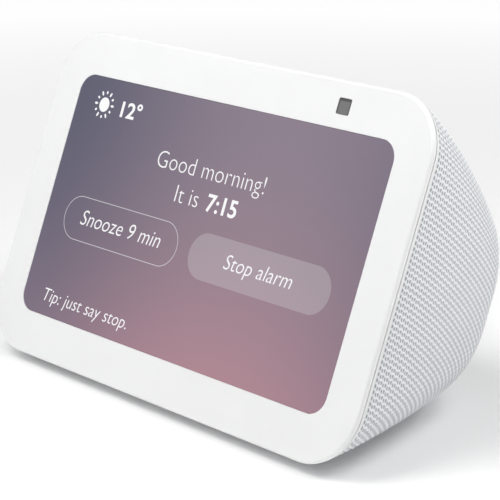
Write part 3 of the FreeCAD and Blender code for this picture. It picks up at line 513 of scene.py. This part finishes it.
along = np.concatenate([np.zeros((1, len(column))), np.cumsum(steps, 0)]) / STITCH
half_uv = np.stack([np.broadcast_to(column / RIB, along.shape), along], 2)
grid_xyz = np.concatenate([half_xyz[:, ::-1] * (-1, 1, 1), half_xyz[:, 1:]], 1)
grid_uv = np.concatenate([half_uv[:, ::-1] * (-1, 1), half_uv[:, 1:]], 1)
seam = np.concatenate([seam[:, ::-1], seam[:, 1:]], 1)
row_count, column_count = grid_xyz.shape[:2]

across = np.roll(grid_xyz, -1, 1) - np.roll(grid_xyz, 1, 1)
outward = np.cross(across, np.gradient(grid_xyz, axis=0))
length = np.linalg.norm(outward, axis=2, keepdims=True)
outward = outward / np.maximum(length, 1e-9)
outward[-6:] = (0, 1, 0)
rib_shape = (0.5 + 0.5 * np.cos(math.tau * grid_uv[..., 0])) ** 2
near_rim = np.clip((grid_xyz[..., 1] - LIP_BACK) / 2.5, 0.0, 1.0)
pitch = np.linalg.norm(across, axis=2) / 2 * STEPS_PER_RIB
crowded = np.clip((pitch / RIB - 0.35) / 0.5, 0.0, 1.0)
lift = (rib_shape - 0.35) * RIB_HEIGHT * (0.3 + 0.7 * near_rim) * crowded * ~seam
grid_xyz = grid_xyz + outward * lift[..., None]

knit = bmesh.new()
bmesh.ops.create_grid(knit, x_segments=column_count - 1, y_segments=row_count - 1, size=1.0)
knit_mesh = bpy.data.meshes.new("knit_cover")
knit.to_mesh(knit_mesh)
knit.free()
spots = np.zeros(len(knit_mesh.vertices) * 3)
knit_mesh.vertices.foreach_get("co", spots)
spots = spots.reshape(-1, 3)
i_column = np.rint((spots[:, 0] + 1) / 2 * (column_count - 1)).astype(int)
i_row = np.rint((spots[:, 1] + 1) / 2 * (row_count - 1)).astype(int)
knit_mesh.vertices.foreach_set("co", grid_xyz[i_row, i_column].ravel())
corners = np.zeros(len(knit_mesh.loops), int)
knit_mesh.loops.foreach_get("vertex_index", corners)
weave = knit_mesh.uv_layers.new(name="weave")
weave.data.foreach_set("uv", grid_uv[i_row, i_column][corners].astype(np.float32).ravel())


def cut_out(body, inside, planes):
    """Cuts the cover along planes where it passes a fitting, and drops the middle."""
    for point, normal, near in planes:
        touched = [f for f in body.faces if near(f.calc_center_median())]
        edges = list({e for f in touched for e in f.edges})
        verts = list({v for f in touched for v in f.verts})
        bmesh.ops.bisect_plane(body, geom=touched + edges + verts, dist=0.0005,
                               plane_co=point, plane_no=normal)
    gone = [f for f in body.faces if inside(f.calc_center_median())]
    bmesh.ops.delete(body, geom=gone, context="FACES")


knit = bmesh.new()
knit.from_mesh(knit_mesh)
bmesh.ops.remove_doubles(knit, verts=knit.verts[:], dist=0.0004)
DECK_HALF, DECK_BACK = 57.15, 13.95
cut_out(knit, lambda c: abs(c.x) < DECK_HALF and c.y < DECK_BACK and c.z > 75, [
    ((DECK_HALF, 0, 0), (1, 0, 0), lambda c: 54 < c.x < 60 and c.y < 16 and c.z > 75),
    ((-DECK_HALF, 0, 0), (1, 0, 0), lambda c: -60 < c.x < -54 and c.y < 16 and c.z > 75),
    ((0, DECK_BACK, 0), (0, 1, 0), lambda c: abs(c.x) < 60 and 11 < c.y < 16 and c.z > 75)])
PORT_MIDDLE, PORT_LENGTH, PORT_WIDTH = 48.0, 40.0, 15.0
port_planes = []
arm = (PORT_LENGTH - PORT_WIDTH) / 2
for side in (-1, 1):
    for step in range(25):
        angle = math.radians(-90 + 180 * step / 24)
        normal = Vector((side * math.cos(angle), 0, math.sin(angle)))
        centre = Vector((side * arm, 0, PORT_MIDDLE))
        port_planes.append((centre + normal * PORT_WIDTH / 2, normal,
                            lambda c, n=normal, o=centre: c.y > 60 and
                            abs((c - o).x) < 9 and abs((c - o).z) < 10 and
                            5.5 < (c - o).length < 10.5 and
                            (Vector((c.x - o.x, 0, c.z - o.z)).normalized() - n).length < 0.25))
for level in (-1, 1):
    port_planes.append(((0, 0, PORT_MIDDLE + level * PORT_WIDTH / 2), (0, 0, 1),
                        lambda c, s=level: c.y > 60 and abs(c.x) < arm + 1 and
                        abs(c.z - PORT_MIDDLE - s * PORT_WIDTH / 2) < 2))
cut_out(knit, lambda c: c.y > 60 and math.hypot(max(abs(c.x) - arm, 0), c.z - PORT_MIDDLE)
        < PORT_WIDTH / 2, port_planes)
turned = Matrix.Rotation(-LEAN, 4, "X")
bmesh.ops.transform(knit, matrix=turned, verts=knit.verts[:])
base_low, base_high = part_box("base_plate")
BASE_X = base_high.x / MM + 0.1
BASE_FRONT = (base_low.y - face_y) / MM - 0.1
BASE_BACK = (base_high.y - face_y) / MM + 0.1
BASE_CORNER = 10.1


def over_base(c):
    dx = max(abs(c.x) - (BASE_X - BASE_CORNER), 0)
    dy = max(abs(c.y - (BASE_FRONT + BASE_BACK) / 2)
             - ((BASE_BACK - BASE_FRONT) / 2 - BASE_CORNER), 0)
    return c.z < 20 and math.hypot(dx, dy) < BASE_CORNER


base_planes = []
for sx in (-1, 1):
    base_planes.append(((sx * BASE_X, 0, 0), (1, 0, 0), lambda c, s=sx: c.z < 12 and
                        abs(c.x - s * BASE_X) < 2 and BASE_FRONT < c.y < BASE_BACK))
    for y_edge, sy in ((BASE_FRONT, -1), (BASE_BACK, 1)):
        o = Vector((sx * (BASE_X - BASE_CORNER), y_edge - sy * BASE_CORNER, 0))
        for step in range(1, 12):
            angle = math.radians(90 * step / 12)
            n = Vector((sx * math.cos(angle), sy * math.sin(angle), 0))
            base_planes.append((o + n * BASE_CORNER, n, lambda c, n=n, o=o: c.z < 12 and
                                8 < Vector((c.x - o.x, c.y - o.y)).length < 12.5 and
                                (Vector((c.x - o.x, c.y - o.y, 0)).normalized() - n).length
                                < 0.2))
for y_edge in (BASE_FRONT, BASE_BACK):
    base_planes.append(((0, y_edge, 0), (0, 1, 0), lambda c, y=y_edge: c.z < 12 and
                        abs(c.y - y) < 2 and abs(c.x) < BASE_X))
cut_out(knit, over_base, base_planes)
bmesh.ops.transform(knit, matrix=turned.inverted(), verts=knit.verts[:])

HEM_DEPTH = 0.9
hem = [e for e in knit.edges if e.is_boundary]
made = bmesh.ops.extrude_edge_only(knit, edges=hem)
knit.normal_update()
for vert in [g for g in made["geom"] if isinstance(g, bmesh.types.BMVert)]:
    inward = Vector((-vert.co.x * 0.4, 30 - vert.co.y, 48 - vert.co.z)).normalized()
    if vert.co.y < LIP_BACK + 0.3:
        inward.y = 0.0
    vert.co += inward * HEM_DEPTH
for f in knit.faces:
    f.smooth = True
bmesh.ops.transform(knit, matrix=face, verts=knit.verts[:])
knit.to_mesh(knit_mesh)
knit.free()
knit_cover = bpy.data.objects.new("knit_cover", knit_mesh)
bpy.context.scene.collection.objects.link(knit_cover)
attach(knit_cover, "housing")
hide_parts("fabric_cover")

knit_yarn, yarn = new_material("knit_yarn", (0.8, 0.8, 0.8), 0.88, sheen=0.2)
yarn.inputs["Sheen Roughness"].default_value = 0.5
pattern = Pattern(knit_yarn)
map_node = pattern.add("ShaderNodeUVMap", uv_map="weave")
split = pattern.add("ShaderNodeSeparateXYZ")
pattern.join(map_node.outputs[0], split.inputs[0])
into = pattern.add("ShaderNodeVectorMath", operation="DOT_PRODUCT")
pattern.join(pattern.place, into.inputs[0])
into.inputs[1].default_value = (0, math.cos(LEAN), -math.sin(LEAN))
rim_line = (face @ Vector((0, LIP_BACK, 0))).dot(Vector(into.inputs[1].default_value))
# A weight that falls from the rim backwards over 38 mm: it widens the waver of the ribs and
# deepens the painted shade in the eyes near the rim.
rim_nearness = pattern.spread(into.outputs["Value"], rim_line, rim_line + 38 * MM, 0.82, 0.60)
wobble = pattern.math("MULTIPLY", pattern.math("SUBTRACT", pattern.noise(500.0, 2.0), 0.5), 0.22)
zigzag = pattern.math("MULTIPLY", pattern.math("SINE", pattern.math(
    "MULTIPLY", split.outputs[1], math.pi)), pattern.math("MULTIPLY", rim_nearness, 0.13))
rib_phase = pattern.math("MULTIPLY", pattern.math("ADD", split.outputs[0], zigzag), math.tau)
stitch_phase = pattern.math("MULTIPLY", pattern.math("ADD", split.outputs[1], wobble), math.tau)
ridge = pattern.spread(pattern.math("COSINE", rib_phase), 0.10, 0.95)
valley = pattern.spread(pattern.math("COSINE", rib_phase), 0.55, -0.35)
gap = pattern.spread(pattern.math("COSINE", stitch_phase), 0.35, -0.75)
eye_hole = pattern.math("MULTIPLY", valley, gap)
fibre = pattern.noise(2600.0, 3.0)
height = pattern.math("SUBTRACT", ridge, pattern.math("MULTIPLY", eye_hole, 0.8))
height = pattern.math("ADD", height, pattern.math("MULTIPLY", fibre, 0.22))
# Painted shade: the valleys between the ribs are painted darker than the ridges, and the open
# eyes darker still.
tone = pattern.blend(ridge, (0.74, 0.755, 0.785), (0.91, 0.92, 0.94))
tone = pattern.blend(pattern.math("MULTIPLY", eye_hole, rim_nearness), tone, (0.17, 0.18, 0.20))
tone = pattern.blend(pattern.spread(fibre, 0.3, 0.8, 0.0, 0.15), tone, (0.95, 0.95, 0.96))
pattern.join(tone, yarn.inputs["Base Color"])
pattern.bump(yarn, height, 0.00014, 0.7)
knit_mesh.materials.append(knit_yarn)

# ---------------------------------------------------------------------------
# Rear shell, base plate, port panel and foot: pale grey mouldings and rubber.
shell_grey = moulded("shell_grey", (0.62, 0.63, 0.64), 0.55)
for name in ("rear_shell", "port_panel", "base_plate"):
    finish(name, shell_grey)
foot_rubber = moulded("foot_rubber", (0.38, 0.39, 0.40), 0.8, 1500.0, 0.00005)
finish("rubber_foot", foot_rubber)

# ---------------------------------------------------------------------------
# Display stack behind the glass: foam gasket, LCD panel, backlight tray, pressed
# steel carrier and an amber flex circuit, screwed down at the corners.
def metal(name, colour, roughness, grain=(900.0, 900.0, 900.0), relief=0.000015):
    """Bare or plated metal; an uneven grain reads as brushing or rolling marks."""
    material, shader = new_material(name, colour, roughness, metallic=1.0)
    pattern = Pattern(material)
    mapped = pattern.add("ShaderNodeMapping")
    mapped.inputs["Scale"].default_value = grain
    pattern.join(pattern.place, mapped.inputs["Vector"])
    brushed = pattern.noise(1.0, 3.0, mapped.outputs[0])
    stained = pattern.noise(60.0, 3.0)
    pattern.join(pattern.blend(pattern.spread(stained, 0.4, 0.75), colour,
                               tuple(c * 0.82 for c in colour)), shader.inputs["Base Color"])
    pattern.join(pattern.spread(brushed, 0.3, 0.7, roughness * 0.8, roughness * 1.3),
                 shader.inputs["Roughness"])
    pattern.bump(shader, brushed, relief, 0.6)
    return material


def open_cell(name, colour, cell):
    """Foam or pressed pulp: small pores in a matt body, darkened with painted shade."""
    material, shader = new_material(name, colour, 0.95)
    pattern = Pattern(material)
    pores = pattern.add("ShaderNodeTexVoronoi")
    pores.inputs["Scale"].default_value = 1.0 / cell
    pattern.join(pattern.place, pores.inputs["Vector"])
    depth = pattern.spread(pores.outputs["Distance"], 0.1, 0.6)
    # Painted shade: the colour darkens into each pore, where the bump sinks.
    pattern.join(pattern.blend(depth, tuple(c * 0.4 for c in colour), colour),
                 shader.inputs["Base Color"])
    pattern.bump(shader, depth, cell * 0.3, 0.8)
    return material


def striped(name, first, second, pitch, direction, roughness=0.5, metallic=0.0):
    """Fine parallel lines, as wound wire, cloth threads or printed copper tracks."""
    material, shader = new_material(name, first, roughness, metallic)
    pattern = Pattern(material)
    run = pattern.add("ShaderNodeVectorMath", operation="DOT_PRODUCT")
    pattern.join(pattern.place, run.inputs[0])
    run.inputs[1].default_value = Vector(direction).normalized() * (math.tau / pitch)
    wave = pattern.math("SINE", run.outputs["Value"])
    line = pattern.spread(wave, -0.3, 0.5)
    pattern.join(pattern.blend(line, first, second), shader.inputs["Base Color"])
    pattern.bump(shader, wave, pitch * 0.15, 0.7)
    return material


UP_THE_FACE = (0, math.sin(LEAN), math.cos(LEAN))
black_foam = open_cell("black_foam", (0.05, 0.05, 0.052), 0.0005)
for name in ("display_gasket", "speaker_gasket", "mic_boots"):
    finish(name, black_foam)
finish("lcd_panel", moulded("lcd_panel", (0.035, 0.037, 0.045), 0.15, 3000.0, 0.000004, 0.5))
finish("backlight", moulded("backlight_tray", (0.80, 0.80, 0.78), 0.5, 900.0, 0.00004))
finish("display_carrier", metal("carrier_steel", (0.56, 0.57, 0.58), 0.38,
                                (2500.0, 60.0, 2500.0)))
finish("display_flex", striped("amber_flex", (0.62, 0.33, 0.07), (0.75, 0.46, 0.16),
                               0.0006, (1, 0, 0), 0.35))

# ---------------------------------------------------------------------------
# Boards: green laminate with printed tracks, resin-packaged chips, a plated steel
# can over the radio, a milled heat spreader, and ivory sockets for the leads.
board, board_shader = new_material("green_board", (0.02, 0.13, 0.07), 0.38, coat=0.3)
pattern = Pattern(board)
turned_place = pattern.add("ShaderNodeMapping")
turned_place.inputs["Rotation"].default_value = (LEAN + math.radians(90), 0, 0)
pattern.join(pattern.place, turned_place.inputs["Vector"])
tracks = pattern.add("ShaderNodeTexBrick", offset=0.37, squash=1.6)
tracks.inputs["Scale"].default_value = 190.0
tracks.inputs["Mortar Size"].default_value = 0.035
pattern.join(turned_place.outputs[0], tracks.inputs["Vector"])
pattern.join(pattern.blend(tracks.outputs["Fac"], (0.015, 0.115, 0.06), (0.05, 0.27, 0.15)),
             board_shader.inputs["Base Color"])
pattern.bump(board_shader, tracks.outputs["Fac"], 0.00003, 0.8)
for name in ("main_board", "button_board", "port_board"):
    finish(name, board)
chip_resin = moulded("chip_resin", (0.028, 0.028, 0.03), 0.62, 5200.0, 0.00002)
for name in ("processor", "memory_chips", "power_coils"):
    finish(name, chip_resin)
plated_tin = metal("plated_tin", (0.78, 0.78, 0.76), 0.3, (300.0, 2600.0, 300.0))
for name in ("board_shield", "microphones", "service_port"):
    finish(name, plated_tin)
finish("heat_spreader", metal("milled_aluminium", (0.70, 0.71, 0.73), 0.42,
                              (90.0, 3200.0, 3200.0)))
screw_steel = metal("screw_steel", (0.62, 0.62, 0.60), 0.28, (1400.0, 1400.0, 1400.0))
for name in ("board_screws", "button_board_screws", "carrier_screws", "base_screws"):
    finish(name, screw_steel)
finish("dc_pin", metal("nickel_pin", (0.76, 0.72, 0.62), 0.2, (2200.0, 300.0, 2200.0)))
finish("lead_sockets", moulded("ivory_nylon", (0.74, 0.69, 0.55), 0.5, 2000.0, 0.00002))
for name in ("antenna_left", "antenna_right"):
    finish(name, striped(name + "_film", (0.70, 0.42, 0.20), (0.10, 0.10, 0.11), 0.0016,
                         UP_THE_FACE, 0.4))
finish("speaker_lead", striped("paired_lead", (0.45, 0.02, 0.02), (0.03, 0.03, 0.03),
                               0.0030, (0.6, 0.6, 0.5), 0.5))
finish("power_lead", striped("power_sleeve", (0.03, 0.03, 0.032), (0.10, 0.10, 0.105),
                             0.0012, (0.4, 0.7, 0.6), 0.55))

# ---------------------------------------------------------------------------
# Loudspeaker: pressed basket, ferrite ring between zinc plates, a pulp cone on a
# rubber surround, an amber cloth spider and a copper coil on its former.
DRIVER_AXIS = (0, 0.678089, 0.734979)
finish("speaker_basket", metal("blackened_steel", (0.06, 0.06, 0.065), 0.45))
zinc_plate = metal("zinc_plate", (0.60, 0.62, 0.64), 0.32, (700.0, 700.0, 2600.0))
for name in ("speaker_pole", "speaker_top_plate"):
    finish(name, zinc_plate)
finish("speaker_magnet", moulded("sintered_ferrite", (0.055, 0.055, 0.06), 0.7, 1600.0,
                                 0.00006))
finish("speaker_cone", open_cell("pressed_pulp", (0.085, 0.08, 0.075), 0.0007))
finish("dust_cap", open_cell("dust_cap_cloth", (0.07, 0.07, 0.07), 0.0004))
finish("speaker_surround", moulded("surround_rubber", (0.03, 0.03, 0.03), 0.6, 1300.0,
                                   0.00004))
finish("speaker_spider", striped("spider_cloth", (0.52, 0.30, 0.10), (0.68, 0.45, 0.20),
                                 0.0007, (1, 0.3, 0), 0.85))
finish("voice_coil", striped("wound_copper", (0.72, 0.33, 0.16), (0.38, 0.15, 0.07),
                             0.0003, DRIVER_AXIS, 0.3, 1.0))
